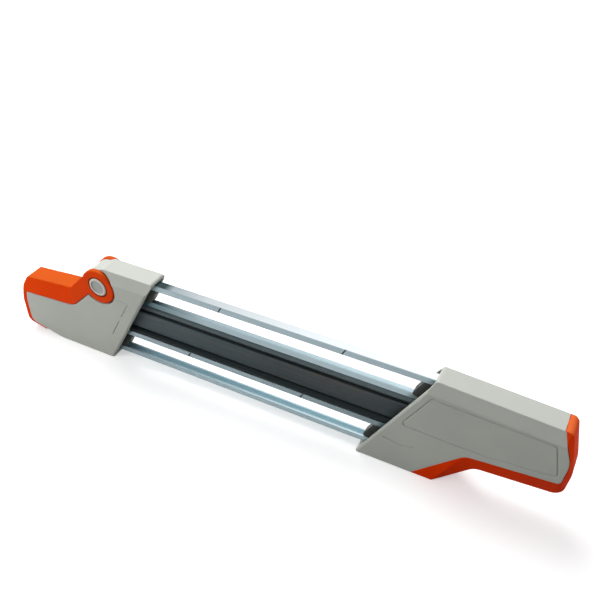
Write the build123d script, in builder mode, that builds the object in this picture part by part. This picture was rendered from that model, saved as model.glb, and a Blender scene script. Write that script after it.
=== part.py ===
from build123d import *
from math import radians, sqrt, tan
import os

# A hand guide for filing saw chain: two grip handles joined by four zinc-plated
# rails, with one flat file and two round files held between the rails.
# X runs along the tool, Y through its thickness with the front at -Y, and Z up
# across its width. The origin is half way along, on the surface that the tool
# stands on. Heights in the values are measured from the tool's centre line.

os.makedirs("parts", exist_ok=True)

# Overall sizes, in millimetres
file_length = 203.0
file_seat = 15.0
handle_length = 92.6
half_thickness = 9.0
filing_angle = 30.0
overrun = 1.0

# Handle shells
shell_wall = 2.0
bevel_height = 7.5
bevel_depth = 2.8
bevel_wall = 1.2
rim_recess = 1.6
rim_chamfer = 1.0
rim_chamfer_depth = 0.7
top_corner_round = 1.5
grip_top_drop = 4.4

# Outlines of the two grips: shares of the handle's length, and of half the width
right_outer_shares = [(0.313, -1.0), (0.497, -0.494), (0.977, -0.385), (1.0, 0.143)]
right_crown_shares = [(0.276, -1.0), (0.442, -0.206), (0.955, -0.065), (0.973, 0.371)]
right_grey_shares = [(0.146, -1.0), (0.442, -0.206), (0.955, -0.065), (0.973, 0.371)]
left_grey_shares = [(0.686, -1.0), (0.959, -0.840), (0.956, -0.343), (0.938, -0.126)]
right_outer_rounds = [2.0, 9.0, 7.0, 30.0, 3.0]
right_crown_rounds = [1.0, 8.0, 2.5, 20.0, 1.0]
left_grey_rounds = [18.0, 4.5, 20.0, 0.5, 14.0]
end_cap_inset = 4.9
end_trim_width = 3.6
trim_edge_half = 5.6
tongue_reach = 3.6
tongue_half_thickness = 1.2
tongue_fit = 0.05
tongue_length = 51.0
left_trim_width = 3.2
left_trim_drop = 0.4
left_trim_length = 15.0
trim_break_height = 4.4

# Lever and its pivot
pivot_inset = 21.0
pivot_drop = 13.0
hub_radius = 11.0
hub_shoulder = 4.5
crook_reach = 24.4
crook_height = -1.3
lever_gap = 0.3
eye_radius = 11.6
eye_pocket_radius = 12.7
neck_clear_radius = 12.9
eye_thickness = 2.8
eye_floor_gap = 0.2
hub_wall = 1.6
pocket_rim = 1.5
neck_offset = 10.9
lever_end_inset = 2.5
lever_brow_inset = 3.4
lever_brow_height = 0.6
lever_tip_inset = 6.9
lever_tip_height = 6.9
lever_root_height = 10.9
lever_bevel_height = 11.0
lever_brow_round = 6.0
lever_tip_round = 2.0
lever_root_round = 5.0
pivot_radius = 2.5
running_gap = 0.06
cap_radius = 6.2
cap_gap = 0.05
cap_stand_proud = 0.4
cap_recess_radius = 4.7
cap_recess_depth = 0.6
cap_chamfer = 0.4
cap_grip_length = 1.4
press_gap = 0.02

# Cam that turns with the lever
cam_radius = 4.85
cam_half_thickness = 2.4
cam_gap = 0.3

# Rails, folded from sheet
rail_depth = 5.5
inner_rail_depth = 3.2
rail_height = 4.1
rail_sheet = 1.0
rail_fold_round = 0.6
outer_rail_inset = 2.6
rail_file_gap = 0.35
rail_seat = 9.0
rail_fit = 0.05
rail_leg_gap = 0.4
peg_sides = 12
rail_pin_radius = 0.9
rail_pin_inset = 4.0
rail_pin_fit = 0.03
rail_pin_drop = 1.1

# Files
tang_overreach = 1.6
flat_file_width = 13.4
flat_file_thickness = 4.0
flat_file_edge = 0.35
flat_tang_width = 6.0
flat_tang_thickness = 2.6
round_file_radius = 2.4
round_tang_radius = 1.5
file_spacing = 0.35
round_file_depth = 1.4
file_fit = 0.2
file_end_chamfer = 0.5

# Rail carriers inside the handles
carrier_depth = 11.0
carrier_side_gap = 0.1
carrier_half_thickness = 5.3
core_side_wall = 2.25
core_half_thickness = 4.2
core_back_wall = 4.0
left_core_reach = 0.1
nose_length = 3.3
nose_gap = 0.5
nose_round = 1.5
guide_lug_thickness = 2.0
guide_lug_drop = 0.5

# Clamp plate that presses the file tangs down
clamp_travel = 1.5
clamp_gap = 0.3
clamp_thickness = 4.0
clamp_half_depth = 3.9
clamp_bridge = 2.0
clamp_press_gap = 0.2
clamp_arm_height = 1.5
clamp_arm_reach = 3.5

# Spring that lifts the clamp plate
spring_radius = 1.45
spring_wire = 0.5
spring_length = 10.0
spring_gap = 0.25

# Screws
screw_radius = 1.25
screw_head_radius = 2.6
screw_head_height = 1.8
screw_head_sink = 0.8
screw_fit = 0.03
screw_boss_side = 6.2
screw_length = 13.0
screw_slot_width = 0.8
screw_slot_depth = 0.9
screw_end_gap = 0.6
carrier_screw_drop = 12.7
carrier_screw_inset = 4.0
right_grip_screws_shares = [(0.531, 0.340), (0.811, 0.370)]
left_grip_screws_shares = [(0.502, -0.690), (0.801, -0.500)]

# Sunk lines on the front faces
groove_width = 0.8
groove_depth = 0.35
panel_inset = 5.4
panel_low = -0.8
panel_end_low = 1.9
panel_drop = 10.1
panel_fall = 2.9
panel_end_inset = 10.2
panel_foot_inset = 6.1
panel_knee_inset = 41.6
panel_knee_height = -1.8
panel_round = 2.0
angle_line_inset = 8.5
angle_line_top = -0.9
angle_line_foot = -13.6
angle_dash_height = 2.8
angle_dash_heights = (4.0, 8.0, 12.0)
cross_line_height = 16.8
cross_line_length = 12.0
cross_line_inset = 8.4
arrow_height = 15.0
arrow_inset = 4.4
arrow_length = 10.5
arrow_head = 7.0
arrow_drop = 2.0

# Worked-out places
slope = tan(radians(filing_angle))
rail_half_span = file_length / 2 - file_seat
half_length = rail_half_span + handle_length
round_file_height = flat_file_width / 2 + file_spacing + round_file_radius
core_half_height = round_file_height + round_file_radius + file_fit + core_side_wall
clamp_arm_low = core_half_height + clamp_gap
clamp_arm_high = clamp_arm_low + clamp_arm_height
cam_offset = clamp_travel / 2
pivot_length = rail_half_span + pivot_inset
pivot_height = clamp_arm_high + cam_gap + cam_offset + cam_radius
half_width = pivot_height + pivot_drop
outer_rail_edge = half_width - outer_rail_inset
inner_rail_edge = round_file_height + round_file_radius + rail_file_gap
neck_side = neck_offset / sqrt(2)
inner_half = half_thickness - shell_wall
top_half = half_thickness - bevel_depth
bevel_lean = bevel_depth / bevel_height
inner_top_half = top_half + shell_wall * bevel_lean - bevel_wall * sqrt(1 + bevel_lean**2)
inner_bevel_height = (inner_half - inner_top_half) / bevel_lean
eye_floor = half_thickness - eye_thickness
pocket_floor = eye_floor - eye_floor_gap
hub_floor = pocket_floor - hub_wall
carrier_face = rail_half_span + rim_recess
carrier_back = carrier_face + carrier_depth
carrier_half_height = half_width - shell_wall - carrier_side_gap
rail_end = carrier_face + rail_seat
inner_rail_web = inner_rail_edge + rail_height
file_end = file_length / 2
right_core_end = file_end + file_fit + core_back_wall
left_core_end = pivot_length + left_core_reach
clamp_near = left_core_end + clamp_gap
clamp_far = clamp_near + clamp_thickness
tang_end = clamp_far + tang_overreach
tang_length = tang_end - file_end
clamp_middle = (clamp_near + clamp_far) / 2
round_places = [(round_file_depth, round_file_height), (-round_file_depth, -round_file_height)]
tang_top = round_file_height + round_tang_radius
clamp_top = tang_top + clamp_press_gap + clamp_bridge
clamp_bottom = -tang_top - clamp_travel - clamp_gap - clamp_bridge
clamp_arm_end = pivot_length - clamp_arm_reach
spring_top = clamp_bottom
spring_low = spring_top - spring_length
shaft_end = eye_floor + cap_grip_length
cap_face = half_thickness + cap_stand_proud
screw_top = half_thickness - screw_head_sink
screw_end = screw_length - screw_top
nose_height = (outer_rail_edge + inner_rail_edge) / 2
nose_half_height = nose_height - inner_rail_edge - rail_height - nose_gap
carrier_screw_height = half_width - carrier_screw_drop

tool = Plane(origin=(0, 0, half_width), x_dir=(1, 0, 0), z_dir=(0, -1, 0))
pivot = Plane(origin=(-pivot_length, 0, half_width + pivot_height), x_dir=(1, 0, 0), z_dir=(0, -1, 0))
profile = Plane(origin=(0, 0, half_width), x_dir=(0, 1, 0), z_dir=(1, 0, 0))


def place(side, shares):
    """Points of one handle, from shares of its length and of half the width."""
    return [
        (side * (rail_half_span + along * handle_length), across * half_width)
        for along, across in shares
    ]


def leaning(base, height):
    """Place along X, at a height, of a line that leans at the filing angle."""
    return base + height * slope


def right_outline(shares, end_inset):
    """Corners of the right grip, from its lower inner corner round to the upper one."""
    low = (leaning(rail_half_span, -half_width), -half_width)
    high = (leaning(rail_half_span, half_width), half_width)
    end = half_length - end_inset
    drop = grip_top_drop * (end - high[0]) / (half_length - high[0])
    return [low] + place(1, shares) + [(end, half_width - drop), high]


def left_outline():
    """Corners of the left grip below its lever, closed over the pivot."""
    low = (leaning(-rail_half_span, -half_width), -half_width)
    crook = (-pivot_length - crook_reach, crook_height)
    high = (leaning(-rail_half_span, half_width), half_width)
    hub = [
        (-pivot_length, pivot_height),
        (-pivot_length, pivot_height + hub_radius),
        (hub_shoulder - pivot_length, half_width),
    ]
    return [low] + place(-1, left_grey_shares) + [crook] + hub + [high]


def turned(points):
    """The same points after half a turn about the tool's centre."""
    return [(-along, -across) for along, across in points]


def block(low, high, start, end):
    """Corners of a block between two heights, from one leaning line to another."""
    return [
        (leaning(start, low), low),
        (leaning(end, low), low),
        (leaning(end, high), high),
        (leaning(start, high), high),
    ]


def wedge_corners(height, half_top, half_base, side):
    """Corners of a cutter's section, seen along the edge that it slopes."""
    lean = (half_base - half_top) / height
    return [
        (side * (half_top - overrun * lean), overrun),
        (side * (half_base + overrun), overrun),
        (side * (half_base + overrun), -height - overrun / lean),
    ]


def bevel_cutter(start, end, height, half_top, half_base):
    """Cutter that slopes the front and rear faces under a long top edge."""
    along = Vector(end[0] - start[0], 0, end[1] - start[1])
    origin = Vector(start[0], 0, half_width + start[1])
    section = Plane(origin=origin - along.normalized() * overrun, x_dir=(0, 1, 0), z_dir=along)
    with BuildPart() as cutter:
        with BuildSketch(section):
            for side in (-1, 1):
                Polygon(*wedge_corners(height, half_top, half_base, side), align=None)
        extrude(amount=along.length + 2 * overrun)
    return cutter.part


def outline_face(outline, rounds):
    """Flat face with rounded corners, to be laid in the tool's plane."""
    with BuildSketch() as face:
        with BuildLine():
            FilletPolyline(*outline, radius=rounds, close=True)
        make_face()
    return face.sketch


def rectangle(start, low, end, high):
    """Corners of an upright rectangle."""
    return [(start, low), (end, low), (end, high), (start, high)]


def slab(corners, front, rear):
    """Solid with the given corners, from one depth to another along Y."""
    with BuildPart() as body:
        with BuildSketch(tool.offset(-front)):
            Polygon(*corners, align=None)
        extrude(amount=front - rear)
    return body.part


def square_posts(places, side, front, rear):
    """Square posts along Y, from one depth to another."""
    with BuildPart() as body:
        with BuildSketch(tool.offset(-front)):
            with Locations(*places):
                Rectangle(side, side)
        extrude(amount=front - rear)
    return body.part


def posts(places, radius, front, rear):
    """Round posts or bores along Y, from one depth to another."""
    with BuildPart() as body:
        with BuildSketch(tool.offset(-front)):
            with Locations(*places):
                Circle(radius)
        extrude(amount=front - rear)
    return body.part


def pegs(places, radius, front, rear):
    """Pins or their bores along Y. They repeat, so they have flat sides."""
    with BuildPart() as body:
        with BuildSketch(tool.offset(-front)):
            with Locations(*places):
                RegularPolygon(radius, peg_sides)
        extrude(amount=front - rear)
    return body.part


def shell_half(face, room_end, bevel, rim, grip_screws, carrier_screws, hub):
    """Front half of a handle shell, hollow and open where the rails enter."""
    lowered = [(along, height - shell_wall) for along, height in bevel]
    outer_bevel = bevel_cutter(*bevel, bevel_height, top_half, half_thickness)
    inner_bevel = bevel_cutter(*lowered, inner_bevel_height, inner_top_half, inner_half)
    rim_cutter = bevel_cutter(*rim, rim_chamfer, half_thickness - rim_chamfer_depth, half_thickness)
    with BuildPart() as room:
        with BuildSketch(tool):
            add(face)
            offset(amount=-shell_wall, kind=Kind.INTERSECTION)
            Polygon(*room_end, align=None)
            if hub:
                with Locations((-pivot_length, pivot_height)):
                    Circle(hub_radius - shell_wall)
        extrude(amount=inner_half)
        add(inner_bevel, mode=Mode.SUBTRACT)
        if hub:
            with BuildSketch(pivot.offset(hub_floor)):
                Circle(eye_pocket_radius + pocket_rim)
            extrude(amount=half_thickness, mode=Mode.SUBTRACT)
    with BuildPart() as shell:
        with BuildSketch(tool):
            add(face)
            if hub:
                with Locations((-pivot_length, pivot_height)):
                    Circle(hub_radius)
        extrude(amount=half_thickness)
        add(outer_bevel, mode=Mode.SUBTRACT)
        add(rim_cutter, mode=Mode.SUBTRACT)
        add(room.part, mode=Mode.SUBTRACT)
        post_top = -inner_half - screw_head_sink
        add(square_posts(grip_screws, screw_boss_side, post_top, 0))
        add(square_posts(carrier_screws, screw_boss_side, post_top, -carrier_half_thickness))
        if hub:
            with BuildSketch(pivot.offset(pocket_floor)):
                Circle(eye_pocket_radius)
            extrude(amount=half_thickness, mode=Mode.SUBTRACT)
            with BuildSketch(pivot):
                Circle(pivot_radius + running_gap)
            extrude(amount=half_thickness, mode=Mode.SUBTRACT)
    return shell.part


def screw_places(grip_shares, side):
    """Screw centres of one handle: two in its grip and two in its rail carrier."""
    carrier = [
        (side * (carrier_face + carrier_screw_inset) + height * slope, height)
        for height in (-carrier_screw_height, carrier_screw_height)
    ]
    return place(side, grip_shares), carrier


def head_seats(places):
    """Through holes and seats that the screws enter from the rear."""
    with BuildPart() as holes:
        add(pegs(places, screw_radius + screw_fit, -screw_end - screw_end_gap, half_thickness))
        seat = screw_top - screw_head_height
        add(posts(places, screw_head_radius + screw_fit, seat, half_thickness + overrun))
    return holes.part


def screw_set(places):
    """Slotted screws of one handle, all in one node."""
    seat = screw_top - screw_head_height
    with BuildPart() as screws:
        add(posts(places, screw_head_radius, seat, screw_top))
        with BuildSketch(tool.offset(screw_slot_depth - screw_top)):
            with Locations(*places):
                Rectangle(2 * screw_head_radius + overrun, screw_slot_width, rotation=filing_angle)
        extrude(amount=-screw_head_height, mode=Mode.SUBTRACT)
        add(pegs(places, screw_radius, -screw_end, seat))
    return screws.part


def groove(points, rounds, close):
    """Cutter for a shallow line sunk in a front face."""
    with BuildPart() as cutter:
        with BuildSketch(tool.offset(half_thickness - groove_depth)):
            with BuildLine():
                FilletPolyline(*points, radius=rounds, close=close)
            trace(line_width=groove_width)
        extrude(amount=half_thickness)
    return cutter.part


def stroke(start, end):
    """Cutter for one straight sunk line."""
    with BuildPart() as cutter:
        with BuildSketch(tool.offset(half_thickness - groove_depth)):
            with BuildLine():
                Line(start, end)
            trace(line_width=groove_width)
        extrude(amount=half_thickness)
    return cutter.part


def tongue(face, window, gap):
    """Rib round the inside of a handle's end, which keys a trim to the shells."""
    with BuildPart() as rib:
        with BuildSketch(tool):
            add(face)
            Polygon(*window, align=None, mode=Mode.INTERSECT)
        extrude(amount=tongue_half_thickness + gap, both=True)
        with BuildSketch(tool):
            add(face)
            offset(amount=-tongue_reach - gap, kind=Kind.INTERSECTION)
        extrude(amount=half_thickness, both=True, mode=Mode.SUBTRACT)
    return rib.part


def rail(side, edge, front, rear, end, grown, leg_gap):
    """Folded channel between the handles or, when grown, the seat that takes it."""
    foot = edge - rail_height - leg_gap
    heights = sorted((side * (edge + grown), side * foot))
    inner_heights = sorted((side * (edge - rail_sheet - grown), side * (foot - overrun)))
    outer = rectangle(front - grown, heights[0], rear + grown, heights[1])
    inner_front = front + rail_sheet + grown
    inner_rear = rear - rail_sheet - grown
    inner = rectangle(inner_front, inner_heights[0], inner_rear, inner_heights[1])
    with BuildPart() as body:
        with BuildSketch(profile):
            Polygon(*outer, align=None)
            if grown == 0:
                fillet(vertices().sort_by(Axis.Y, reverse=side > 0)[:2], rail_fold_round)
            Polygon(*inner, align=None, mode=Mode.SUBTRACT)
        extrude(amount=half_length, both=True)
        add(slab(block(-half_width, half_width, -end, end), -half_width, half_width), mode=Mode.INTERSECT)
    return body.part


def pin_places(side):
    """Centres of the four cross pins at one end of the rails."""
    heights = (outer_rail_edge, inner_rail_web)
    middles = [sign * (edge - rail_sheet - rail_pin_drop) for edge in heights for sign in (-1, 1)]
    return [(leaning(side * (carrier_face + rail_pin_inset), middle), middle) for middle in middles]


def file_channels(side):
    """Clear way for the cut part of the three files, up to their ends."""
    with BuildPart() as ways:
        with BuildSketch(profile):
            Rectangle(flat_file_thickness + 2 * file_fit, flat_file_width + 2 * file_fit)
            with Locations(*round_places):
                Circle(round_file_radius + file_fit)
        extrude(amount=side * (file_end + file_fit))
    return ways.part


def tang_channels():
    """Clear way for the tangs, beyond the cut part of the files."""
    with BuildPart() as ways:
        with BuildSketch(profile):
            Rectangle(flat_tang_thickness + 2 * file_fit, flat_tang_width + 2 * file_fit)
            with Locations(*round_places):
                Circle(round_tang_radius + file_fit)
        extrude(amount=-tang_end)
    return ways.part


def carrier(side, core_end, screws):
    """Block in a handle that holds the rails' ends, with noses in the windows."""
    corners = block(-carrier_half_height, carrier_half_height, side * carrier_face, side * carrier_back)
    core = [
        (leaning(side * carrier_face, -core_half_height), -core_half_height),
        (side * core_end, -core_half_height),
        (side * core_end, core_half_height),
        (leaning(side * carrier_face, core_half_height), core_half_height),
    ]
    with BuildPart() as body:
        add(slab(corners, -carrier_half_thickness, carrier_half_thickness))
        add(slab(core, -core_half_thickness, core_half_thickness))
        for middle in (-nose_height, nose_height):
            tip = side * (rail_half_span - nose_length)
            root = side * (carrier_face + overrun)
            nose = block(middle - nose_half_height, middle + nose_half_height, tip, root)
            with BuildSketch(tool.offset(rail_depth / 2)):
                with BuildLine():
                    FilletPolyline(*nose, radius=[nose_round, 0, 0, nose_round], close=True)
                make_face()
            extrude(amount=-rail_depth)
        for seat in rail_seats:
            add(seat, mode=Mode.SUBTRACT)
        add(file_channels(side), mode=Mode.SUBTRACT)
        pins = pegs(pin_places(side), rail_pin_radius + rail_pin_fit, -half_width, half_width)
        add(pins, mode=Mode.SUBTRACT)
        add(pegs(screws, screw_radius + screw_fit, -half_width, half_width), mode=Mode.SUBTRACT)
    return body.part


def finish(piece, name):
    """Name a piece and write it to its own file."""
    piece.part.label = name
    export_step(piece.part, f"parts/{name}.step")


# Faces, rooms and screw places of the two handles
right_end_inset = end_cap_inset + end_trim_width
crown_rounds = [0] + right_crown_rounds + [top_corner_round]
right_grey = outline_face(right_outline(right_grey_shares, right_end_inset), crown_rounds)
right_crown = outline_face(right_outline(right_crown_shares, right_end_inset), crown_rounds)
outer_rounds = [0] + right_outer_rounds + [top_corner_round]
right_outer = outline_face(right_outline(right_outer_shares, end_cap_inset), outer_rounds)
left_grey = outline_face(left_outline(), [0] + left_grey_rounds + [0, 0, 0, top_corner_round])
room_half = half_width - shell_wall
room_back = carrier_back + carrier_side_gap
room_end = block(-room_half, room_half, rail_half_span - overrun, room_back)
right_end, right_high = right_outline(right_outer_shares, end_cap_inset)[-2:]
top_fall = (right_high[1] - right_end[1]) / (right_end[0] - right_high[0])
right_top = [(right_high[0] - bevel_height, right_high[1] + bevel_height * top_fall), right_end]
right_rim = [(leaning(rail_half_span, -half_width), -half_width), right_high]
left_low, left_high = left_outline()[0], left_outline()[-1]
left_top = [(-pivot_length, half_width), left_high]
right_grip_screws, right_carrier_screws = screw_places(right_grip_screws_shares, 1)
left_grip_screws, left_carrier_screws = screw_places(left_grip_screws_shares, -1)
right_half = shell_half(
    right_grey, room_end, right_top, right_rim, right_grip_screws, right_carrier_screws, False
)
left_half = shell_half(
    left_grey, turned(room_end), left_top, [left_high, left_low], left_grip_screws, left_carrier_screws, True
)

# Ribs that key the soft trims to the shells
tongue_low = -half_width / 2
tongue_high = half_width - grip_top_drop - tongue_reach - shell_wall
right_window = rectangle(half_length - tongue_length, tongue_low, half_length, tongue_high)
right_tongue = tongue(right_grey, right_window, 0)
right_slot = tongue(right_grey, right_window, tongue_fit)
left_window_end = left_trim_length - half_length
left_window = rectangle(-half_length, -half_width, left_window_end, -trim_break_height - lever_gap)

# Right handle: panel line, arrow and the shells
panel_high = half_width - panel_drop
panel_line = [
    (leaning(rail_half_span + panel_inset, panel_low), panel_low),
    (leaning(rail_half_span + panel_inset, panel_high), panel_high),
    (half_length - panel_end_inset, panel_high - panel_fall),
    (half_length - panel_foot_inset, panel_end_low),
    (half_length - panel_knee_inset, panel_knee_height),
]
arrow_start = leaning(rail_half_span + arrow_inset, -arrow_height)
arrow_tip = (arrow_start + arrow_length, -arrow_height - arrow_drop)
arrow_barb = (arrow_tip[0] + arrow_head, -arrow_height)

with BuildPart() as right_front_shell:
    add(right_half)
    add(pegs(right_grip_screws, screw_radius + screw_fit, -screw_end - screw_end_gap, 0), mode=Mode.SUBTRACT)
    add(right_slot, mode=Mode.SUBTRACT)
    add(groove(panel_line, panel_round, True), mode=Mode.SUBTRACT)
    add(stroke((arrow_start, -arrow_height), arrow_tip), mode=Mode.SUBTRACT)
    add(stroke(arrow_tip, arrow_barb), mode=Mode.SUBTRACT)
finish(right_front_shell, "right_front_shell")

with BuildPart() as right_rear_shell:
    add(mirror(right_half, about=Plane.XZ, mode=Mode.PRIVATE))
    add(head_seats(right_grip_screws + right_carrier_screws), mode=Mode.SUBTRACT)
    add(right_slot, mode=Mode.SUBTRACT)
finish(right_rear_shell, "right_rear_shell")

# Soft trim along the lower edge and round the end of the right grip
with BuildPart() as right_grip_trim:
    with BuildSketch(tool):
        add(right_outer)
    extrude(amount=trim_edge_half)
    with BuildSketch(tool.offset(trim_edge_half)):
        add(right_outer)
    with BuildSketch(tool.offset(half_thickness)):
        add(right_crown)
    loft(ruled=True)
    with BuildSketch(tool):
        add(right_grey)
    extrude(amount=half_thickness + overrun, mode=Mode.SUBTRACT)
    add(bevel_cutter(*right_top, bevel_height, top_half, half_thickness), mode=Mode.SUBTRACT)
    mirror(about=Plane.XZ)
    add(right_tongue)
finish(right_grip_trim, "right_grip_trim")

# Left handle: angle marks and the shells
angle_top = (leaning(-rail_half_span - angle_line_inset, angle_line_top), angle_line_top)
angle_foot = (leaning(-rail_half_span - angle_line_inset, angle_line_foot), angle_line_foot)
cross_start = leaning(-rail_half_span - cross_line_inset, cross_line_height) - cross_line_length

with BuildPart() as left_front_shell:
    add(left_half)
    add(pegs(left_grip_screws, screw_radius + screw_fit, -screw_end - screw_end_gap, 0), mode=Mode.SUBTRACT)
    add(stroke(angle_top, angle_foot), mode=Mode.SUBTRACT)
    for dash_low in angle_dash_heights:
        dash_high = dash_low + angle_dash_height
        dash_start = (leaning(-rail_half_span - angle_line_inset, dash_low), dash_low)
        dash_end = (leaning(-rail_half_span - angle_line_inset, dash_high), dash_high)
        add(stroke(dash_start, dash_end), mode=Mode.SUBTRACT)
    cross_end = cross_start + cross_line_length
    add(stroke((cross_start, cross_line_height), (cross_end, cross_line_height)), mode=Mode.SUBTRACT)
finish(left_front_shell, "left_front_shell")

with BuildPart() as left_rear_shell:
    add(mirror(left_half, about=Plane.XZ, mode=Mode.PRIVATE))
    add(head_seats(left_grip_screws + left_carrier_screws), mode=Mode.SUBTRACT)
finish(left_rear_shell, "left_rear_shell")

# Thin strip round the end of the left grip
with BuildPart() as left_end_trim:
    with BuildSketch(tool):
        with Locations((-left_trim_width, -left_trim_drop)):
            add(left_grey)
        Polygon(*left_window, align=None, mode=Mode.INTERSECT)
        add(left_grey, mode=Mode.SUBTRACT)
    extrude(amount=half_thickness, both=True)
finish(left_end_trim, "left_end_trim")

# Lever: an arm over the left grip and a pair of eyes round the pivot
lever_end = half_length - lever_end_inset
lever_tip = half_length - lever_tip_inset
lever_low = -trim_break_height
neck_top = (-pivot_length - neck_side, pivot_height + neck_side)
lever_root = (neck_top[0] - neck_top[1] + lever_root_height, lever_root_height)
lever_outline = [
    (-lever_end, lever_low),
    (lever_brow_inset - half_length, lever_brow_height),
    (-lever_tip, lever_tip_height),
    lever_root,
    neck_top,
    (-pivot_length, pivot_height),
    (-pivot_length, lever_low),
]
lever_rounds = [0, lever_brow_round, lever_tip_round, lever_root_round, 0, 0, 0]
lever_rise = (lever_root_height - lever_tip_height) / (lever_root[0] + lever_tip)
lever_start = (-half_length - overrun, lever_tip_height - (lever_tip_inset + overrun) * lever_rise)

with BuildPart() as lever:
    with BuildSketch(tool):
        with BuildLine():
            FilletPolyline(*lever_outline, radius=lever_rounds, close=True)
        make_face()
        with BuildSketch(mode=Mode.SUBTRACT):
            add(left_grey)
            offset(amount=lever_gap, kind=Kind.INTERSECTION)
    extrude(amount=half_thickness)
    lever_bevel = bevel_cutter(lever_start, lever_root, lever_bevel_height, top_half, half_thickness)
    add(lever_bevel, mode=Mode.SUBTRACT)
    with BuildSketch(pivot):
        Circle(neck_clear_radius)
    extrude(amount=eye_floor, mode=Mode.SUBTRACT)
    with BuildSketch(pivot.offset(eye_floor)):
        Circle(eye_radius)
    extrude(amount=eye_thickness)
    with BuildSketch(pivot):
        Circle(cap_radius + cap_gap)
    extrude(amount=half_thickness + overrun, mode=Mode.SUBTRACT)
    mirror(about=Plane.XZ)
finish(lever, "lever")

# Pivot: shaft, caps, and the cam between the shells
pivot_place = [(-pivot_length, pivot_height)]
with BuildPart() as pivot_shaft:
    add(posts(pivot_place, pivot_radius, -shaft_end, shaft_end))
finish(pivot_shaft, "pivot_shaft")

with BuildPart() as pivot_cap_front:
    add(posts(pivot_place, cap_radius, -cap_face, -eye_floor))
    chamfer(faces().sort_by(Axis.Y)[0].edges(), cap_chamfer)
    recess_floor = cap_recess_depth - cap_face
    add(posts(pivot_place, cap_recess_radius, -cap_face - overrun, recess_floor), mode=Mode.SUBTRACT)
    add(posts(pivot_place, pivot_radius + press_gap, -shaft_end, -eye_floor + overrun), mode=Mode.SUBTRACT)
finish(pivot_cap_front, "pivot_cap_front")

with BuildPart() as pivot_cap_rear:
    add(mirror(pivot_cap_front.part, about=Plane.XZ, mode=Mode.PRIVATE))
finish(pivot_cap_rear, "pivot_cap_rear")

with BuildPart() as release_cam:
    with BuildSketch(pivot.offset(-cam_half_thickness)):
        with Locations((-cam_offset, -cam_offset)):
            Circle(cam_radius)
        Circle(pivot_radius + press_gap, mode=Mode.SUBTRACT)
    extrude(amount=2 * cam_half_thickness)
finish(release_cam, "release_cam")

# Clamp plate: slots round the tangs, and an arm under the cam
with BuildPart() as tang_clamp:
    plate = rectangle(-clamp_far, clamp_bottom, -clamp_near, clamp_top)
    add(slab(plate, -clamp_half_depth, clamp_half_depth))
    add(slab(rectangle(-clamp_far, 0, -clamp_near, clamp_arm_high), -cam_half_thickness, cam_half_thickness))
    arm = rectangle(-clamp_far, clamp_arm_low, -clamp_arm_end, clamp_arm_high)
    add(slab(arm, -cam_half_thickness, cam_half_thickness))
    tangs = [(0, 0, flat_tang_thickness / 2, flat_tang_width / 2)]
    tangs += [(depth, height, round_tang_radius, round_tang_radius) for depth, height in round_places]
    for depth, height, half_depth, half_height in tangs:
        low = height - half_height - clamp_travel - clamp_gap
        high = height + half_height + clamp_press_gap
        slot = rectangle(-clamp_far - overrun, low, -clamp_near + overrun, high)
        reach = half_depth + clamp_gap
        add(slab(slot, depth - reach, depth + reach), mode=Mode.SUBTRACT)
finish(tang_clamp, "tang_clamp")

# Spring under the clamp plate, plain as the sleeve that its coils fill
with BuildPart() as clamp_spring:
    with BuildSketch(Plane.XY.offset(half_width + spring_low + spring_gap / 2)):
        with Locations((-clamp_middle, 0)):
            Circle(spring_radius + spring_wire / 2)
            Circle(spring_radius - spring_wire / 2, mode=Mode.SUBTRACT)
    extrude(amount=spring_length - spring_gap)
finish(clamp_spring, "clamp_spring")

# Rails and the seats that take them
half_depth = rail_depth / 2
inner_front = half_depth - inner_rail_depth
rail_places = {
    "upper_outer_rail": (1, outer_rail_edge, -half_depth, half_depth),
    "upper_inner_rail": (1, inner_rail_web, inner_front, half_depth),
    "lower_inner_rail": (-1, inner_rail_web, -half_depth, -inner_front),
    "lower_outer_rail": (-1, outer_rail_edge, -half_depth, half_depth),
}
rail_seats = [rail(*where, rail_end + rail_fit, rail_fit, rail_leg_gap) for where in rail_places.values()]
pin_bores = pegs(pin_places(-1) + pin_places(1), rail_pin_radius + rail_pin_fit, -half_width, half_width)
for name, where in rail_places.items():
    with BuildPart() as folded_rail:
        add(rail(*where, rail_end, 0, 0))
        add(pin_bores, mode=Mode.SUBTRACT)
    finish(folded_rail, name)

for name, side in (("left_rail_pins", -1), ("right_rail_pins", 1)):
    with BuildPart() as rail_pins:
        add(pegs(pin_places(side), rail_pin_radius, -carrier_half_thickness, carrier_half_thickness))
    finish(rail_pins, name)

# Rail carriers
with BuildPart() as right_rail_carrier:
    add(carrier(1, right_core_end, right_carrier_screws))
finish(right_rail_carrier, "right_rail_carrier")

lug_start = clamp_far + clamp_gap
lug_end = lug_start + guide_lug_thickness
lug_foot = (carrier_back - lug_end) / slope - overrun
with BuildPart() as left_rail_carrier:
    add(carrier(-1, left_core_end, left_carrier_screws))
    add(tang_channels(), mode=Mode.SUBTRACT)
    lug = rectangle(-lug_end, lug_foot, -lug_start, -tang_top - guide_lug_drop)
    add(slab(lug, -core_half_thickness, core_half_thickness))
    with BuildSketch(Plane.XY.offset(half_width + spring_low)):
        with Locations((-clamp_middle, 0)):
            Circle(spring_radius + spring_wire / 2 + spring_gap)
    extrude(amount=spring_length, mode=Mode.SUBTRACT)
finish(left_rail_carrier, "left_rail_carrier")

# Files
with BuildPart() as flat_file:
    with BuildSketch(profile.offset(-file_end)):
        Rectangle(flat_file_thickness, flat_file_width)
        chamfer(vertices(), flat_file_edge)
    extrude(amount=file_length)
    with BuildSketch(profile.offset(-tang_end)):
        Rectangle(flat_tang_thickness, flat_tang_width)
    extrude(amount=tang_length)
finish(flat_file, "flat_file")

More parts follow.
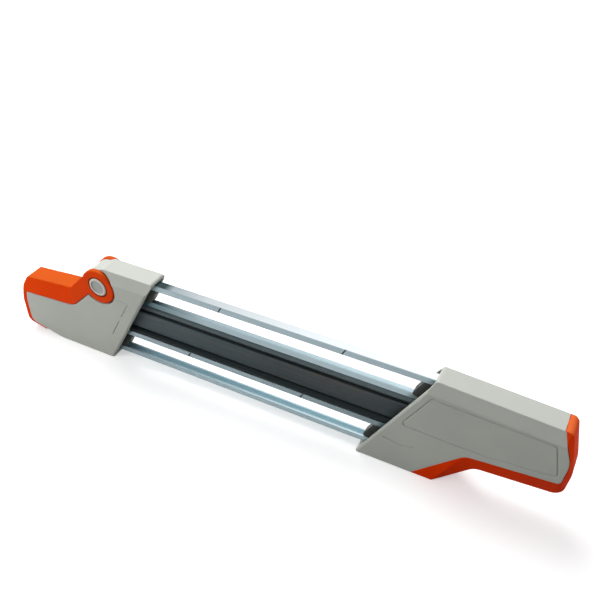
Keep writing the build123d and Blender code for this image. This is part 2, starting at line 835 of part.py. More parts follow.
for name, where in zip(("upper_round_file", "lower_round_file"), round_places):
    with BuildPart() as round_file:
        with BuildSketch(profile.offset(-file_end)):
            with Locations(where):
                Circle(round_file_radius)
        extrude(amount=file_length)
        chamfer(edges().filter_by(GeomType.CIRCLE), file_end_chamfer)
        with BuildSketch(profile.offset(-tang_end)):
            with Locations(where):
                Circle(round_tang_radius)
        extrude(amount=tang_length)
    finish(round_file, name)

# Screws of the two handles
for name, places in (
    ("left_handle_screws", left_grip_screws + left_carrier_screws),
    ("right_handle_screws", right_grip_screws + right_carrier_screws),
):
    with BuildPart() as handle_screws:
        add(screw_set(places))
    finish(handle_screws, name)
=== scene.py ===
# %% [markdown]
# # A chainsaw file guide
#
# The frame holds every solid piece of the tool: grips, trims, rails, files,
# lever and pivot. This script gives each of them the finish that it has in the
# hand, and sets a studio round it. The shapes all come from the frame and are
# never moved or changed. What is left to do is colour, grain, gloss and light.

# %% Load the frame
import math

import bpy
import numpy as np
from mathutils import Matrix, Vector


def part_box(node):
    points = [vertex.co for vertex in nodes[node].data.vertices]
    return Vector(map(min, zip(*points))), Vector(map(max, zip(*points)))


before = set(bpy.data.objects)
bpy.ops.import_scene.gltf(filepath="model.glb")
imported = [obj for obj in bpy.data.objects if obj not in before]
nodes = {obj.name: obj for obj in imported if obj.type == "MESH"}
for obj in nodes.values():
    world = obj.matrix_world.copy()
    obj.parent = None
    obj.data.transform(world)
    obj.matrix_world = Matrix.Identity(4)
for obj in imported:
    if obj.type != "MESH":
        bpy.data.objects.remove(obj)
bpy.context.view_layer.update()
print("pieces in the frame:", len(nodes))

# %% [markdown]
# ## The camera
#
# The tool is seen from the front, from above and a little from its right end.
# The camera could be aimed with a constraint, but a fixed matrix is exact: its
# columns are the directions to the right, up, and back towards the viewer.

# %% Place the camera
right = Vector((0.886483, 0.462687, -0.0082995))
down = Vector((0.280087, -0.550736, -0.786283))
forward = Vector((-0.368374, 0.694702, -0.617811))
eye = Vector((0.170764, -0.270781, 0.329612))
focal_pixels = 743.28
picture_pixels = 600

camera_data = bpy.data.cameras.new("camera")
camera_data.sensor_width = 36.0
camera_data.lens = focal_pixels / picture_pixels * camera_data.sensor_width
camera = bpy.data.objects.new("camera", camera_data)
bpy.context.scene.collection.objects.link(camera)
turn = Matrix((right, -down, -forward)).transposed()
camera.matrix_world = Matrix.Translation(eye) @ turn.to_4x4()
bpy.context.scene.camera = camera
print("lens in mm:", round(camera_data.lens, 2))

# %% [markdown]
# ## Nodes in one line
#
# A material is a graph of nodes. Written out link by link it is long, so one
# helper makes a node, sets its values, and joins whatever comes from another
# node. The rest of the script is then about finishes, not about wiring.

# %% A helper that puts a node in a graph
def put(tree, kind, inputs=None, **settings):
    """Add a node. An input that is a socket is joined, any other is a value."""
    node = tree.nodes.new(kind)
    for name, value in settings.items():
        setattr(node, name, value)
    for key, value in (inputs or {}).items():
        if isinstance(value, bpy.types.NodeSocket):
            tree.links.new(value, node.inputs[key])
        else:
            node.inputs[key].default_value = value
    return node


def math_node(tree, operation, first, second=0.0, clamp=False):
    """One sum on two values."""
    node = put(tree, "ShaderNodeMath", {0: first, 1: second}, operation=operation, use_clamp=clamp)
    return node.outputs[0]


def times(tree, first, second):
    """Product of two values. Two masks multiplied are 1 where both are."""
    return math_node(tree, "MULTIPLY", first, second)


# %% [markdown]
# ### Small helpers for masks and colours
#
# A mask is a number from 0 to 1 over the surface. It comes from where a point
# is, from which way its face looks, or from noise, carried to the range that is
# wanted. It then blends one colour into another.

# %% Helpers for masks
def spread(tree, value, low, high, to_low, to_high):
    """Value carried from one range to another, and held at its ends."""
    inputs = {0: value, 1: low, 2: high, 3: to_low, 4: to_high}
    return put(tree, "ShaderNodeMapRange", inputs).outputs[0]


def point_of(tree):
    """Where a point is, in coordinates that move with its piece."""
    return put(tree, "ShaderNodeTexCoord").outputs["Object"]


def parts_of(tree, arrow):
    """X, Y and Z of a place or direction."""
    return put(tree, "ShaderNodeSeparateXYZ", {0: arrow}).outputs


def length_of(tree, arrow):
    """Length of a place or direction."""
    return put(tree, "ShaderNodeVectorMath", {0: arrow}, operation="LENGTH").outputs["Value"]


def upward_of(tree):
    """How much a face looks up: 1 on a level top, 0 on a wall, -1 underneath."""
    normal = put(tree, "ShaderNodeNewGeometry").outputs["True Normal"]
    return parts_of(tree, normal)[2]


def noise(tree, place, scale, detail, roughness):
    """Cloudy number round 0.5, with about as many clouds in a metre as the scale says."""
    inputs = {"Vector": place, "Scale": scale, "Detail": detail, "Roughness": roughness}
    return put(tree, "ShaderNodeTexNoise", inputs).outputs[0]


# %% Helpers for colours
def blend_colours(tree, share, first, second):
    """Colour that goes from the first to the second with the share."""
    node = put(tree, "ShaderNodeMix", {0: share, 6: first, 7: second}, data_type="RGBA")
    return node.outputs[2]


def chip(red, green, blue):
    """Colour of a paint chip, given in the 0 to 255 steps of a colour picker."""
    steps = np.array([red, green, blue]) / 255
    linear = np.where(steps <= 0.04045, steps / 12.92, ((steps + 0.055) / 1.055) ** 2.4)
    return (*linear.tolist(), 1.0)


print("a middle grey chip reflects", round(chip(128, 128, 128)[0], 3))

# %% [markdown]
# ## Effects that several finishes share
#
# Moulded grain, drawn streaks, worn edges with a painted highlight, and dust with painted light on top
# come back on many pieces.
# Each is built once as a node group, with its own inputs and outputs, and each
# finish then sets its own scale and strength. The groups give only numbers and
# normals, and the shader itself stays in the material.

# %% A helper that starts a node group
number = "NodeSocketFloat"
direction = "NodeSocketVector"


def start_group(name, inputs, outputs):
    """Empty node group with numbers as inputs, and the named outputs."""
    tree = bpy.data.node_groups.new(name, "ShaderNodeTree")
    for label, value in inputs.items():
        socket = tree.interface.new_socket(name=label, in_out="INPUT", socket_type=number)
        socket.default_value = value
    for label, kind in outputs.items():
        tree.interface.new_socket(name=label, in_out="OUTPUT", socket_type=kind)
    entry = tree.nodes.new("NodeGroupInput")
    leave = tree.nodes.new("NodeGroupOutput")
    print("made", name)
    return tree, entry.outputs, leave.inputs


def place_group(tree, group, inputs):
    """Copy of a shared group inside a material."""
    return put(tree, "ShaderNodeGroup", inputs, node_tree=group).outputs


# %% [markdown]
# ### Moulded grain
#
# The steel mould of a plastic grip is etched, so the plastic comes out with a
# fine, even grain. Fine noise does it, and a slow noise on top changes the
# gloss a little where hands have rubbed the surface.

# %% Moulded grain
handling_per_metre = 38.0

grain, given, out = start_group(
    "moulded_grain", {"Grain per metre": 4200.0}, {"Height": number, "Rubbed": number}
)
place = point_of(grain)
pits = noise(grain, place, given[0], detail=2.0, roughness=0.6)
cloud = noise(grain, place, handling_per_metre, detail=3.0, roughness=0.55)
grain.links.new(pits, out["Height"])
grain.links.new(spread(grain, cloud, 0.35, 0.7, 0.0, 1.0), out["Rubbed"])

# %% [markdown]
# ### Drawn streaks
#
# Sheet and bar are pulled through rolls, which leave streaks along the length.
# A noise that is squeezed across and stretched along X gives them.

# %% Drawn streaks
broad_per_metre = 420.0

streaks, given, out = start_group(
    "drawn_streaks", {"Streaks per metre": 2600.0, "Stretch": 60.0}, {"Fine": number, "Broad": number}
)
parts = parts_of(streaks, point_of(streaks))
along = math_node(streaks, "DIVIDE", parts[0], given[1])
drawn = put(streaks, "ShaderNodeCombineXYZ", {0: along, 1: parts[1], 2: parts[2]}).outputs[0]
streaks.links.new(noise(streaks, drawn, given[0], detail=3.0, roughness=0.65), out["Fine"])
streaks.links.new(noise(streaks, drawn, broad_per_metre, detail=2.0, roughness=0.5), out["Broad"])

# %% [markdown]
# ### Soft edges, worn and with a painted highlight
#
# No moulded or folded edge is sharp. Rounding every edge in the mesh is heavy,
# so the Bevel node bends the normal near an edge instead. Where the bent normal
# leaves the true one, there is an edge, and that gives the edge mask too: real
# wear, and a painted highlight along the edges. The halves of a grip meet at
# y = 0 without a step, so near it the true normal stays.

# %% Soft edges, wear and painted highlight
seam_half_width = 0.0009
bevel_samples = 6
patches_per_metre = 160.0

edges, given, out = start_group(
    "soft_edges", {"Radius": 0.0006, "Wear": 0.5}, {"Normal": direction, "Worn_and_highlight": number}
)
place = point_of(edges)
depth = math_node(edges, "ABSOLUTE", parts_of(edges, place)[1])
off_seam = math_node(edges, "GREATER_THAN", depth, seam_half_width)
bent_normal = put(edges, "ShaderNodeBevel", {"Radius": given[0]}, samples=bevel_samples).outputs[0]
true_normal = put(edges, "ShaderNodeNewGeometry").outputs["Normal"]
chosen = {0: off_seam, 4: true_normal, 5: bent_normal}
round_normal = put(edges, "ShaderNodeMix", chosen, data_type="VECTOR").outputs[1]

both = {0: round_normal, 1: true_normal}
agreement = put(edges, "ShaderNodeVectorMath", both, operation="DOT_PRODUCT").outputs["Value"]
bare = spread(edges, agreement, 0.99, 0.80, 0.0, 1.0)
cloud = noise(edges, place, patches_per_metre, detail=4.0, roughness=0.6)
patches = spread(edges, cloud, 0.42, 0.62, 0.0, 1.0)
edges.links.new(round_normal, out["Normal"])
edges.links.new(times(edges, times(edges, bare, patches), given[1]), out["Worn_and_highlight"])

# %% [markdown]
# ### Dust and painted light on top
#
# Filings and dust settle where a face looks up, and dull a strong colour there.
# The same paler colour on the tops also stands in for the light that falls on
# them, so it is painted light as well. The height of the true normal says which
# way a face looks, so it is the mask.

# %% Dust and painted light on top
blown_per_metre = 90.0

dust_and_top_light, given, out = start_group("dust_and_light_on_top", {"Amount": 0.5}, {"Dust_and_light": number})
settled = spread(dust_and_top_light, upward_of(dust_and_top_light), 0.30, 0.90, 0.0, 1.0)
blown = noise(dust_and_top_light, point_of(dust_and_top_light), blown_per_metre, detail=4.0, roughness=0.6)
uneven = spread(dust_and_top_light, blown, 0.3, 0.7, 0.8, 1.0)
dust_and_top_light.links.new(times(dust_and_top_light, times(dust_and_top_light, settled, uneven), given[0]), out["Dust_and_light"])

# %% [markdown]
# ## The finishes
#
# Every finish starts from the same three lines: a material, its graph, and the
# shader. The helper clears the default nodes so that nothing is left unjoined.
# Other helpers put a finish on pieces of the frame, and give it relief: a bump
# doesn't move the surface, it only bends the light on it.

# %% A helper that starts a finish
def start_finish(name, **values):
    """New material. Values that are the same all over go on the shader itself."""
    material = bpy.data.materials.new(name)
    material.use_nodes = True
    tree = material.node_tree
    tree.nodes.clear()
    shader = tree.nodes.new("ShaderNodeBsdfPrincipled")
    output = tree.nodes.new("ShaderNodeOutputMaterial")
    tree.links.new(shader.outputs[0], output.inputs["Surface"])
    for label, value in values.items():
        shader.inputs[label.replace("_", " ")].default_value = value
    return material, tree, shader.inputs


# %% A helper that gives a finish to pieces
def give(material, *names):
    """Put a finish on frame pieces, in every material slot that they have."""
    for name in names:
        piece = nodes[name]
        for index in range(len(piece.data.materials)):
            piece.data.materials[index] = material
        if not piece.data.materials:
            piece.data.materials.append(material)
    print(material.name, "->", ", ".join(names))


# %% A helper that gives a finish relief
def raise_relief(tree, shader, height, normal, strength, deepest):
    """Bump: the height bends the normal, as if the surface rose by up to the deepest."""
    relief = {"Height": height, "Normal": normal, "Strength": strength, "Distance": deepest}
    tree.links.new(put(tree, "ShaderNodeBump", relief).outputs[0], shader["Normal"])


# %% [markdown]
# ### Moulded plastic, in grey and in orange
#
# The grips are glass-filled nylon with an etched grain, and the lever is the
# same plastic in orange. The trim is a softer rubber, so it is duller and its
# grain is coarser. One function makes all three, because only the numbers
# differ.

# %% Moulded plastic
rubbed_gloss = 0.08


def moulded(name, colours, rough, shine, grains, bump, radius):
    """Moulded piece: grain as bump, rubbed patches, dust and painted light on top, and pale worn edges
    with a painted highlight.

    The four colours are the plain one, the rubbed, the worn one with its painted edge highlight, and
    the dusty one with its painted top light.
    """
    plain, rubbed_colour, worn_and_lit_colour, dusty_lit_colour = colours
    material, tree, shader = start_finish(name, IOR=1.48, Specular_IOR_Level=shine)
    marks = place_group(tree, grain, {"Grain per metre": grains})
    soft = place_group(tree, edges, {"Radius": radius, "Wear": 0.6})
    settled_and_lit = place_group(tree, dust_and_top_light, {"Amount": 0.85})
    body = blend_colours(tree, marks["Rubbed"], plain, rubbed_colour)
    body = blend_colours(tree, soft["Worn_and_highlight"], body, worn_and_lit_colour)
    tree.links.new(blend_colours(tree, settled_and_lit["Dust_and_light"], body, dusty_lit_colour), shader["Base Color"])
    roughness = spread(tree, marks["Rubbed"], 0.0, 1.0, rough, rough - rubbed_gloss)
    tree.links.new(roughness, shader["Roughness"])
    raise_relief(tree, shader, marks["Height"], soft["Normal"], strength=bump, deepest=0.0001)
    return material


# %% The grips, the lever and the trims
grip_grey = moulded(
    "grip_grey",
    colours=(chip(202, 205, 196), chip(196, 200, 191), chip(220, 222, 216), chip(202, 204, 197)),
    rough=0.55, shine=0.35, grains=4200.0, bump=0.35, radius=0.0008,
)
lever_orange = moulded(
    "lever_orange",
    colours=(chip(250, 74, 0), chip(243, 68, 0), chip(255, 108, 40), chip(200, 94, 32)),
    rough=0.48, shine=0.06, grains=4200.0, bump=0.25, radius=0.0014,
)
trim_orange = moulded(
    "trim_orange",
    colours=(chip(255, 64, 0), chip(247, 59, 0), chip(255, 108, 46), chip(244, 124, 66)),
    rough=0.58, shine=0.06, grains=3000.0, bump=0.45, radius=0.0011,
)
give(grip_grey, "right_front_shell", "right_rear_shell", "left_front_shell", "left_rear_shell")
give(lever_orange, "lever")
give(trim_orange, "right_grip_trim", "left_end_trim")

# %% [markdown]
# ### Painted shade round the pivot
#
# The cap sits in the lever's eye with a hair of a gap, where shade falls. That
# shade is painted on the lever as a dark ring, so the distance from the pivot's
# axis gives its mask. The mask is written as a function that makes a function: the
# outer one is told how wide the ring is, and the inner one builds it in a graph. So
# a finish that is already made can be tinted in any place that has such a mask.

# %% A helper that tints a finish
def tint(material, mask, colour, strength):
    """Blend a colour over a finish where the mask, a function of the graph, is 1."""
    tree = material.node_tree
    shader = next(node for node in tree.nodes if node.type == "BSDF_PRINCIPLED")
    body = shader.inputs["Base Color"].links[0].from_socket
    share = times(tree, mask(tree), strength)
    tree.links.new(blend_colours(tree, share, body, colour), shader.inputs["Base Color"])


# %% Painted shade round the pivot
cap_low, cap_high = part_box("pivot_cap_front")
axis = (cap_low + cap_high) / 2
cap_edge = (cap_high.x - cap_low.x) / 2
gap_shade_reach = 0.0008


def ring(inner, outer, soft):
    """Mask that is 1 between two distances from the pivot's axis, with soft ends."""

    def mask(tree):
        parts = parts_of(tree, point_of(tree))
        side = math_node(tree, "SUBTRACT", parts[0], axis.x)
        rise = math_node(tree, "SUBTRACT", parts[2], axis.z)
        away = length_of(tree, put(tree, "ShaderNodeCombineXYZ", {0: side, 1: rise}).outputs[0])
        begins = spread(tree, away, inner - soft, inner, 0.0, 1.0)
        ends = spread(tree, away, outer, outer + soft, 1.0, 0.0)
        return times(tree, begins, ends)

    return mask


# Painted shade: a dark ring on the lever round the cap, for the shade in the gap.
gap_shade = ring(inner=0.0, outer=cap_edge + gap_shade_reach, soft=0.0003)
tint(lever_orange, gap_shade, chip(60, 22, 10), strength=0.9)
print("cap radius in mm:", round(cap_edge * 1000, 2))

# %% [markdown]
# ### Dark plastic inside
#
# The rail carriers, the cam and the clamp are black nylon. They lie in shadow,
# so a plain grain and a slightly glossier skin are enough. Their pale worn colour
# is a painted highlight along their edges.

# %% Dark plastic inside
inner_black = moulded(
    "inner_black",
    colours=(chip(52, 57, 55), chip(58, 63, 60), chip(168, 172, 164), chip(66, 71, 68)),
    rough=0.45, shine=0.5, grains=3600.0, bump=0.3, radius=0.0004,
)
give(inner_black, "left_rail_carrier", "right_rail_carrier", "release_cam", "tang_clamp")

# %% [markdown]
# ### The pivot's caps
#
# A cap is a grey plastic disc with a sunk middle. Its raised rim is paler and
# warmer than the middle, so it gets a tint of its own, in another ring.

# %% The pivot's caps
rim_share = 0.77

cap_grey = moulded(
    "cap_grey",
    colours=(chip(186, 188, 186), chip(176, 179, 178), chip(232, 226, 214), chip(204, 203, 199)),
    rough=0.38, shine=0.5, grains=4200.0, bump=0.2, radius=0.0003,
)
rim = ring(inner=cap_edge * rim_share, outer=cap_edge * 2, soft=0.0002)
tint(cap_grey, rim, chip(236, 228, 212), strength=0.9)
give(cap_grey, "pivot_cap_front", "pivot_cap_rear")

# %% [markdown]
# ### Painted ticks on two rails
#
# Two short black ticks are painted on the front of the upper outer and of the
# lower inner rail. A tick is a line on the surface. It could be a thin solid,
# but paint has no thickness to speak of, so it is drawn as a mask: a point is
# inside when it is close to a leaning line at a given X.

# %% Painted ticks
tick_lean = 0.58
tick_half_width = 0.00048


def tick_places(rail, crossings):
    """Places of leaning lines that cross the middle of a rail's height at each X."""
    low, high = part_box(rail)
    return [x - tick_lean * (low.z + high.z) / 2 for x in crossings]


def painted_ticks(tree, places):
    """1 on the front faces, close to the lines x = place + tick_lean * z."""
    parts = parts_of(tree, point_of(tree))
    normal = put(tree, "ShaderNodeNewGeometry").outputs["Normal"]
    front = math_node(tree, "LESS_THAN", parts_of(tree, normal)[1], -0.7)
    leaning = math_node(tree, "SUBTRACT", parts[0], times(tree, parts[2], tick_lean))
    painted = 0.0
    for place in places:
        away = math_node(tree, "ABSOLUTE", math_node(tree, "SUBTRACT", leaning, place))
        inside = math_node(tree, "LESS_THAN", away, tick_half_width)
        painted = math_node(tree, "ADD", painted, inside, clamp=True)
    return times(tree, painted, front)


upper_ticks = tick_places("upper_outer_rail", (-0.0232, 0.0544))
lower_ticks = tick_places("lower_inner_rail", (-0.0489, 0.0287))
print("ticks:", len(upper_ticks) + len(lower_ticks))

# %% [markdown]
# ### Zinc plate on the rails
#
# The rails are folded from sheet and zinc plated, which gives steel a cool,
# slightly blue grey. The plate is metal all over, apart from the painted ticks.

# %% Zinc plate
metal_share = 0.9


def zinc_plate(name, dark_plate, light_plate, ticks=()):
    """Zinc plated sheet: streaks along the fold, pale worn edges, black ticks."""
    material, tree, shader = start_finish(name, Metallic=metal_share)
    drawn = place_group(tree, streaks, {"Streaks per metre": 3000.0, "Stretch": 40.0})
    soft = place_group(tree, edges, {"Radius": 0.0003, "Wear": 0.6})
    body = blend_colours(tree, drawn["Broad"], dark_plate, light_plate)
    body = blend_colours(tree, soft["Worn_and_highlight"], body, chip(224, 234, 238))
    if ticks:
        paint = painted_ticks(tree, ticks)
        body = blend_colours(tree, paint, body, chip(24, 26, 28))
        bare_metal = math_node(tree, "SUBTRACT", metal_share, times(tree, paint, metal_share))
        tree.links.new(bare_metal, shader["Metallic"])
    tree.links.new(body, shader["Base Color"])
    tree.links.new(spread(tree, drawn["Fine"], 0.3, 0.7, 0.30, 0.46), shader["Roughness"])
    raise_relief(tree, shader, drawn["Fine"], soft["Normal"], strength=0.12, deepest=0.0001)
    return material


# %% The four rails
pale_plate = (chip(182, 204, 211), chip(202, 221, 227))
upper_zinc = zinc_plate("zinc_plate_upper_ticks", chip(168, 188, 195), chip(190, 207, 213), upper_ticks)
inner_zinc = zinc_plate("zinc_plate", *pale_plate)
# Painted light: the lower outer rail's plate is a lighter copy of the same zinc, for the brighter light
# it reflects.
lighter_lit_zinc = zinc_plate("zinc_plate_lit_lighter", chip(198, 221, 228), chip(216, 235, 240))
lower_zinc = zinc_plate("zinc_plate_lower_ticks", *pale_plate, lower_ticks)
give(upper_zinc, "upper_outer_rail")
give(inner_zinc, "upper_inner_rail")
give(lower_zinc, "lower_inner_rail")
give(lighter_lit_zinc, "lower_outer_rail")

# %% [markdown]
# ### Painted reflections and shade on the rails
#
# The level top of the uppermost rail is painted bright, as a painted reflection.
# By the left grip three of the rails are painted dark, as the grip's painted
# shadow and reflection, and the lower inner rail is painted darker towards the
# right grip. Such a place is a stretch of the rail, on the faces that look up
# enough, so two masks, one for the place and one for the faces, are multiplied.

# %% Painted reflections and shade on the rails
level_top = (0.80, 0.95)
upper_faces = (0.6, 0.9)
all_but_undersides = (-0.6, -0.3)
every_face = (-1.3, -1.0)


def stretch(full, none, faces):
    """Mask that falls from 1 at one X to 0 at another, on faces that look up enough."""

    def mask(tree):
        along = spread(tree, parts_of(tree, point_of(tree))[0], none, full, 0.0, 1.0)
        return times(tree, spread(tree, upward_of(tree), *faces, 0.0, 1.0), along)

    return mask


painted_top_reflection = stretch(full=-0.0300, none=-0.0700, faces=level_top)
upper_end_shade = stretch(full=-0.0615, none=-0.0560, faces=upper_faces)
inner_end_shade = stretch(full=-0.0800, none=-0.0360, faces=all_but_undersides)
lower_end_shade = stretch(full=0.0900, none=-0.0300, faces=every_face)
lower_outer_end_shade = stretch(full=-0.0450, none=0.0100, faces=upper_faces)
# Painted reflection on the top, painted shadow and reflection of the grip at the ends.
tint(upper_zinc, painted_top_reflection, chip(244, 249, 251), strength=0.9)
tint(upper_zinc, upper_end_shade, chip(36, 64, 67), strength=0.9)
tint(inner_zinc, inner_end_shade, chip(30, 84, 92), strength=0.9)
tint(lower_zinc, lower_end_shade, chip(76, 90, 94), strength=0.45)
tint(lighter_lit_zinc, lower_outer_end_shade, chip(84, 122, 134), strength=0.3)
print("places on the rails: one rubbed bright, four dull")

# %% [markdown]
# ### Bright steel
#
# Screws, pins and the shaft are small turned or drawn steel pieces. Turning
# leaves fine lines round them, so the streaks are short and dense.

# %% Bright steel
bright_steel, tree, shader = start_finish("bright_steel", Metallic=1.0)
drawn = place_group(tree, streaks, {"Streaks per metre": 5000.0, "Stretch": 4.0})
soft = place_group(tree, edges, {"Radius": 0.0002, "Wear": 0.5})
body = blend_colours(tree, drawn["Broad"], chip(180, 182, 184), chip(206, 208, 208))
tree.links.new(blend_colours(tree, soft["Worn_and_highlight"], body, chip(232, 232, 230)), shader["Base Color"])
tree.links.new(spread(tree, drawn["Fine"], 0.3, 0.7, 0.24, 0.40), shader["Roughness"])
tree.links.new(soft["Normal"], shader["Normal"])
give(
    bright_steel, "pivot_shaft", "left_rail_pins", "right_rail_pins",
    "left_handle_screws", "right_handle_screws",
)

# %% [markdown]
# ### Coils of the spring
#
# The frame holds the spring as a plain sleeve, hidden inside the left grip. Real
# coils would cost many faces that nobody sees, so they are a wave that climbs
# one pitch in a turn: round on top, with painted shade between the coils. The
# wave is worked out in the sleeve's own coordinates, so it stays on the sleeve
# wherever that goes.

# %% Coils of the spring
coil_pitch = 0.0008
spring_low, spring_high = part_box("clamp_spring")
spring_axis = (spring_low + spring_high) / 2

coil_steel, tree, shader = start_finish("coil_steel", Metallic=1.0)
parts = parts_of(tree, point_of(tree))
aside = math_node(tree, "SUBTRACT", parts[0], spring_axis.x)
back = math_node(tree, "SUBTRACT", parts[1], spring_axis.y)
turns = math_node(tree, "DIVIDE", math_node(tree, "ARCTAN2", back, aside), 2 * math.pi)
climb = math_node(tree, "ADD", math_node(tree, "DIVIDE", parts[2], coil_pitch), turns)
round_top = math_node(tree, "SINE", times(tree, math_node(tree, "FRACT", climb), math.pi))
wire = spread(tree, round_top, 0.25, 0.8, 0.0, 1.0)
tree.links.new(blend_colours(tree, wire, chip(34, 36, 38), chip(186, 188, 190)), shader["Base Color"])
tree.links.new(spread(tree, wire, 0.0, 1.0, 0.6, 0.28), shader["Roughness"])
relief = put(tree, "ShaderNodeBump", {"Height": round_top, "Strength": 0.8, "Distance": 0.0003})
tree.links.new(relief.outputs[0], shader["Normal"])
give(coil_steel, "clamp_spring")
print("coils:", round((spring_high.z - spring_low.z) / coil_pitch))

# %% [markdown]
# ### File steel
#
# A file is hard, dark steel with rows of teeth. On the flat file the rows lean
# across the face, and a second, shallower row crosses them. On the round files
# they wind round the bar. Each row is a saw-tooth wave: steep in front, gentle
# behind. Modelling them would need a million faces, so the wave is a bump.

# %% File steel
cross_pitches = 1.35
cross_depth = 0.35


def tooth_rows(tree, slanted, pitch):
    """Saw-tooth wave, 0 to 1: the part after the point of a place measured in pitches."""
    return math_node(tree, "FRACT", math_node(tree, "DIVIDE", slanted, pitch))


def file_steel(name, colours, lean, cross_lean, pitch, centre=None):
    """Hard steel: rows of teeth as relief, dark between them, bright on top.

    The colours are those of the roots, of the tips, and of the broad streaks.

    A flat file's place is x + lean * z. A round file's place is x plus the
    angle round its centre times lean, which makes the rows wind round the bar.
    """
    roots, tips, broad = colours
    material, tree, shader = start_finish(name, Metallic=0.85)
    parts = parts_of(tree, point_of(tree))
    across = parts[2]
    if centre is not None:
        side = math_node(tree, "SUBTRACT", parts[1], centre.y)
        rise = math_node(tree, "SUBTRACT", parts[2], centre.z)
        across = math_node(tree, "ARCTAN2", rise, side)
    first = math_node(tree, "ADD", parts[0], times(tree, across, lean))
    second = math_node(tree, "ADD", parts[0], times(tree, across, cross_lean))
    teeth = tooth_rows(tree, first, pitch)
    nicks = tooth_rows(tree, second, pitch * cross_pitches)
    height = math_node(tree, "ADD", teeth, times(tree, nicks, cross_depth))
    drawn = place_group(tree, streaks, {"Streaks per metre": 1800.0, "Stretch": 30.0})
    soft = place_group(tree, edges, {"Radius": 0.0002, "Wear": 0.7})
    body = blend_colours(tree, teeth, roots, tips)
    body = blend_colours(tree, spread(tree, drawn["Broad"], 0.48, 0.62, 0.0, 0.6), body, broad)
    tree.links.new(blend_colours(tree, soft["Worn_and_highlight"], body, chip(150, 160, 162)), shader["Base Color"])
    tree.links.new(spread(tree, drawn["Fine"], 0.3, 0.7, 0.42, 0.60), shader["Roughness"])
    raise_relief(tree, shader, height, soft["Normal"], strength=0.5, deepest=0.0002)
    return material


# %% The three files
flat_colours = (chip(58, 67, 71), chip(88, 99, 103), chip(92, 91, 86))
# Painted shade: the lower round file gets much darker colours than the upper, for the flat file's
# shadow over it.
round_colours_lower_shaded = {
    "upper_round_file": (chip(76, 88, 92), chip(118, 131, 135), chip(96, 104, 104)),
    "lower_round_file": (chip(28, 36, 39), chip(52, 61, 64), chip(40, 44, 44)),
}
flat_steel = file_steel(
    "flat_file_steel", flat_colours, lean=0.7, cross_lean=-0.9, pitch=0.0009
)
give(flat_steel, "flat_file")
for name, colours in round_colours_lower_shaded.items():
    low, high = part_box(name)
    steel = file_steel(
        name + "_steel", colours, lean=0.0011, cross_lean=-0.0015, pitch=0.0007,
        centre=(low + high) / 2,
    )
    give(steel, name)

# %% [markdown]
# ### Painted highlight on the flat file
#
# The flat file is painted a little brighter at its left end, and less and less
# up to just past the middle: a painted highlight. The mask that serves the rails'
# stretches serves here as well, on all faces.

# %% Painted highlight on the flat file
left_end_highlight = stretch(full=-0.0500, none=0.0150, faces=every_face)
tint(flat_steel, left_end_highlight, chip(116, 131, 137), strength=0.3)
print("flat file: teeth rubbed at the left end")

# %% [markdown]
# ## The studio
#
# A pale floor, a soft light from above, and weaker ones from the left front and
# the right end, so that the end of the right grip isn't lost in shadow. The
# floor is white to the camera, but reflects less light onto the object and in
# its metal, so that faces that look down or forward keep their depth. It glows
# a little more with the distance, so that it stays white up to the horizon.

# %% A helper that tells rays apart
def ray_masks(tree):
    """Masks of rays that look straight or through glass, and of mirrored rays."""
    seen = put(tree, "ShaderNodeLightPath").outputs
    direct = math_node(tree, "MAXIMUM", seen["Is Camera Ray"], seen["Is Transmission Ray"])
    return direct, seen["Is Glossy Ray"]


# %% Floor
floor_reach = 6.0
floor_level = -0.0002
outline = ((-1, -1), (1, -1), (1, 1), (-1, 1))
corners = [(x * floor_reach, y * floor_reach, floor_level) for x, y in outline]
floor_mesh = bpy.data.meshes.new("floor")
floor_mesh.from_pydata(corners, [], [(0, 1, 2, 3)])
floor = bpy.data.objects.new("floor", floor_mesh)
bpy.context.scene.collection.objects.link(floor)

# %% The floor's paper
paper_white = 0.85
light_to_object = 0.26
light_in_metal = 0.74
near_glow = 0.45
far_glow = 1.0

paper = bpy.data.materials.new("paper")
paper.use_nodes = True
tree = paper.node_tree
tree.nodes.clear()
direct, glossy = ray_masks(tree)
pale_paper = {"Color": (paper_white, paper_white, paper_white, 1.0)}
pale = put(tree, "ShaderNodeBsdfDiffuse", pale_paper).outputs[0]
lift = spread(tree, length_of(tree, point_of(tree)), 0.4, 1.6, near_glow, far_glow)
glow = put(tree, "ShaderNodeEmission", {"Color": (1.0, 1.0, 1.0, 1.0), "Strength": lift}).outputs[0]
white = put(tree, "ShaderNodeAddShader", {0: pale, 1: glow}).outputs[0]
shade = spread(tree, glossy, 0.0, 1.0, light_to_object, light_in_metal)
dull = put(tree, "ShaderNodeBsdfDiffuse", {"Color": shade}).outputs[0]
mixed = put(tree, "ShaderNodeMixShader", {0: direct, 1: dull, 2: white}).outputs[0]
put(tree, "ShaderNodeOutputMaterial", {"Surface": mixed})
floor_mesh.materials.append(paper)
print("floor in m:", 2 * floor_reach)

# %% [markdown]
# ### The world
#
# Metal shows what lies round it, so the rails are as bright as the world in
# their mirrored rays. It is darker to the left and brighter above, as a room is
# with a window to the right. Plastic sees an even, weak light, and the
# background is plain white.

# %% World
even_light = 0.21
background = 1.0
left_strength = 0.34
right_strength = 1.45
level_strength = 0.60
top_strength = 1.10

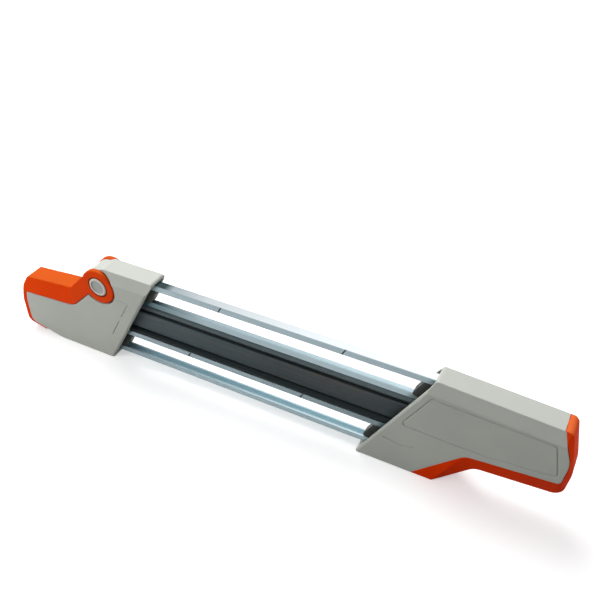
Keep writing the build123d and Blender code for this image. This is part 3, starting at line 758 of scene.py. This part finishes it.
world = bpy.data.worlds.new("studio")
bpy.context.scene.world = world
world.use_nodes = True
tree = world.node_tree
tree.nodes.clear()
direct, glossy = ray_masks(tree)
parts = parts_of(tree, put(tree, "ShaderNodeTexCoord").outputs["Generated"])
from_left = spread(tree, parts[0], -0.54, -0.30, left_strength, right_strength)
from_above = spread(tree, parts[2], 0.0, 1.0, level_strength, top_strength)
mirrored = times(tree, from_left, from_above)
strength = put(tree, "ShaderNodeMix", {0: glossy, 2: even_light, 3: mirrored}).outputs[0]
strength = put(tree, "ShaderNodeMix", {0: direct, 2: strength, 3: background}).outputs[0]
sky = put(tree, "ShaderNodeBackground", {"Color": (0.97, 0.985, 1.0, 1.0), "Strength": strength})
put(tree, "ShaderNodeOutputWorld", {"Surface": sky.outputs[0]})
print("even light:", even_light)

# %% [markdown]
# ### The lamps
#
# Three square panels light the plastic. They don't show in the metal, because
# a small bright panel would draw hard white lines along the rails.

# %% Lamps
def panel(name, place, target, size, power):
    """Square soft light at a place, turned to face a target, unseen in metal."""
    data = bpy.data.lights.new(name, "AREA")
    data.shape = "SQUARE"
    data.size = size
    data.energy = power
    lamp = bpy.data.objects.new(name, data)
    bpy.context.scene.collection.objects.link(lamp)
    away = Vector(place) - Vector(target)
    lamp.matrix_world = Matrix.Translation(place) @ away.to_track_quat("Z", "Y").to_matrix().to_4x4()
    lamp.visible_glossy = False
    print(name, "in W:", power)


panel("overhead", place=(-0.45, 0.4, 0.92), target=(0.0, 0.0, 0.03), size=0.8, power=11.4)
panel("front_left", place=(-0.55, -0.5, 0.35), target=(-0.12, 0.0, 0.03), size=0.4, power=2.85)
panel("right_end", place=(0.8, -0.04, 0.28), target=(0.15, 0.0, 0.03), size=0.35, power=1.0)

# %% [markdown]
# ## Colours as given
#
# Blender's usual view bends colours as film does, which suits very bright
# scenes. The Standard view shows each colour as it was given, so a paint chip
# stays true.

# %% View settings
bpy.context.scene.view_settings.view_transform = "Standard"
